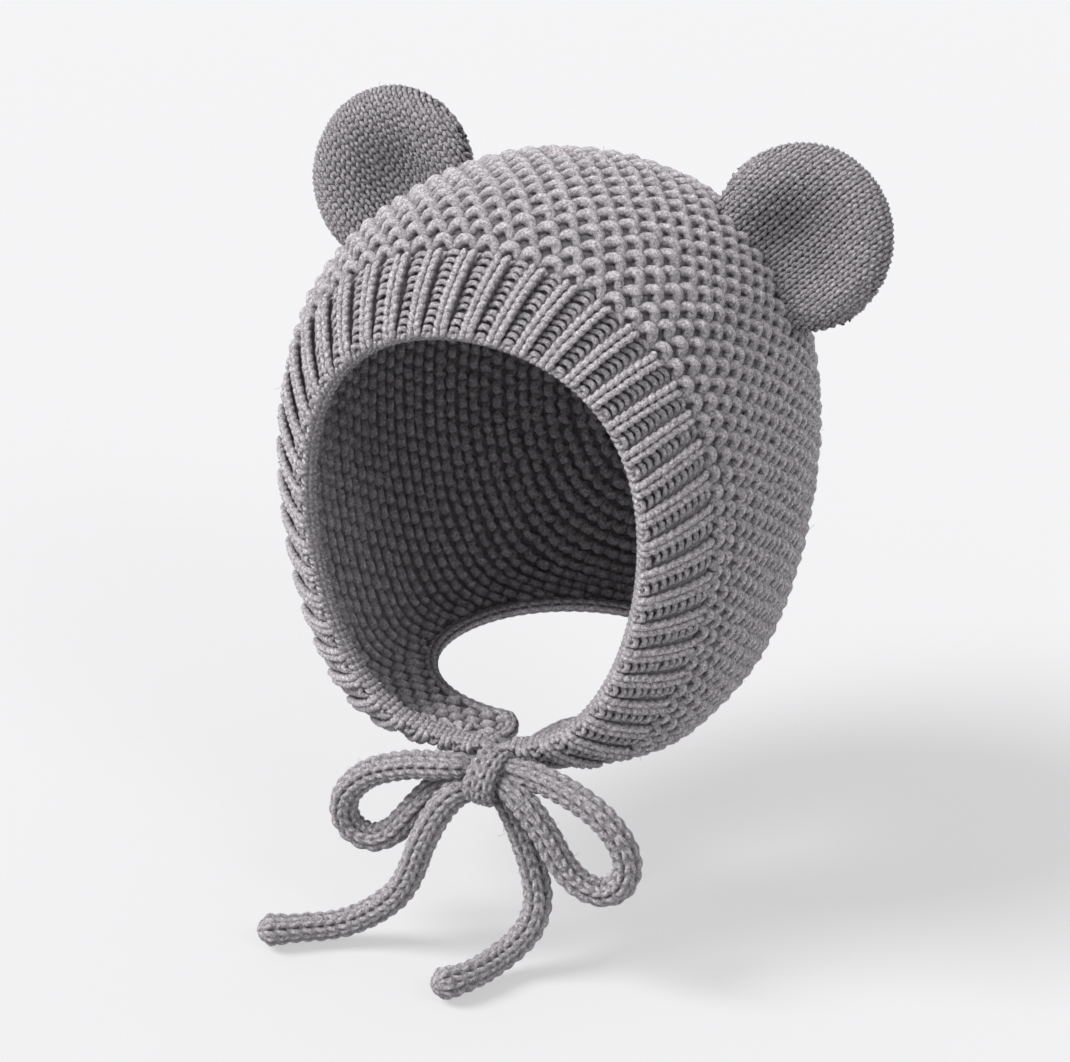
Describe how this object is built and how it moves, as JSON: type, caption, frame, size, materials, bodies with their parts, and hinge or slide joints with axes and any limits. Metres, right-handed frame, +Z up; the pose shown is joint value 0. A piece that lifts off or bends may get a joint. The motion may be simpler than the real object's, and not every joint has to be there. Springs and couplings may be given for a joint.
{
  "type": "knitted baby bonnet",
  "caption": "Knitted wool baby bonnet with round ears, a ribbed face band and cord ties made into a bow under the chin.",
  "frame": {"origin": "top of the inside of the crown, where the bonnet sits on the top of a head", "axes": "+Z up, -Y the way the face looks, +X to the right of someone who faces the bonnet's front"},
  "size_m": [0.1648, 0.1728, 0.1998],
  "materials": {
    "grey_wool": "thick knitted wool, soft and slightly fuzzy"
  },
  "bodies": {
    "root": {"body": "grey_wool", "face_band": "grey_wool", "ear_left": "grey_wool", "ear_right": "grey_wool", "bow_knot": "grey_wool", "bow_loop_left": "grey_wool", "bow_loop_right": "grey_wool", "tail_left": "grey_wool", "tail_right": "grey_wool"}
  },
  "joints": []
}
